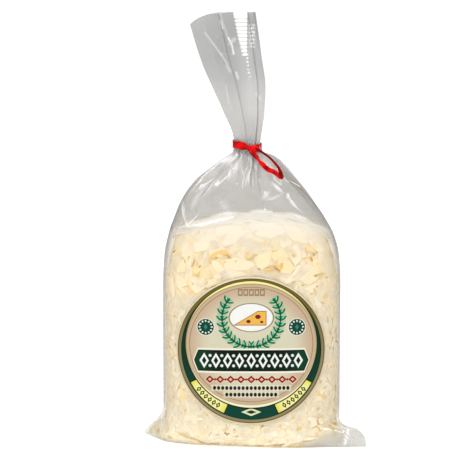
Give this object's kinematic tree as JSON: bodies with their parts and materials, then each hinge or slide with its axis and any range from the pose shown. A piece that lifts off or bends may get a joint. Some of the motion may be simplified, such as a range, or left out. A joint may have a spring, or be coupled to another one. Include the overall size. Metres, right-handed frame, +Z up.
{
  "type": "pack of shaved parmesan",
  "caption": "Clear film bag of shaved hard cheese, standing on its base, its gathered mouth closed with a red tie and a round label stuck to its front.",
  "frame": {"origin": "middle of the base, on the surface that the bag stands on", "axes": "+Z up through the tied neck, -Y out of the front where the label is, +X to the right as the label is read"},
  "size_m": [0.1452, 0.0609, 0.278],
  "materials": {
    "film": "clear, crinkled, glossy",
    "cheese": "matte, pale yellow to ivory",
    "label": "coated paper, satin",
    "tie": "satin red ribbon"
  },
  "bodies": {
    "root": {"bag": "film", "label": "label", "tie": "tie"}
  },
  "joints": []
}
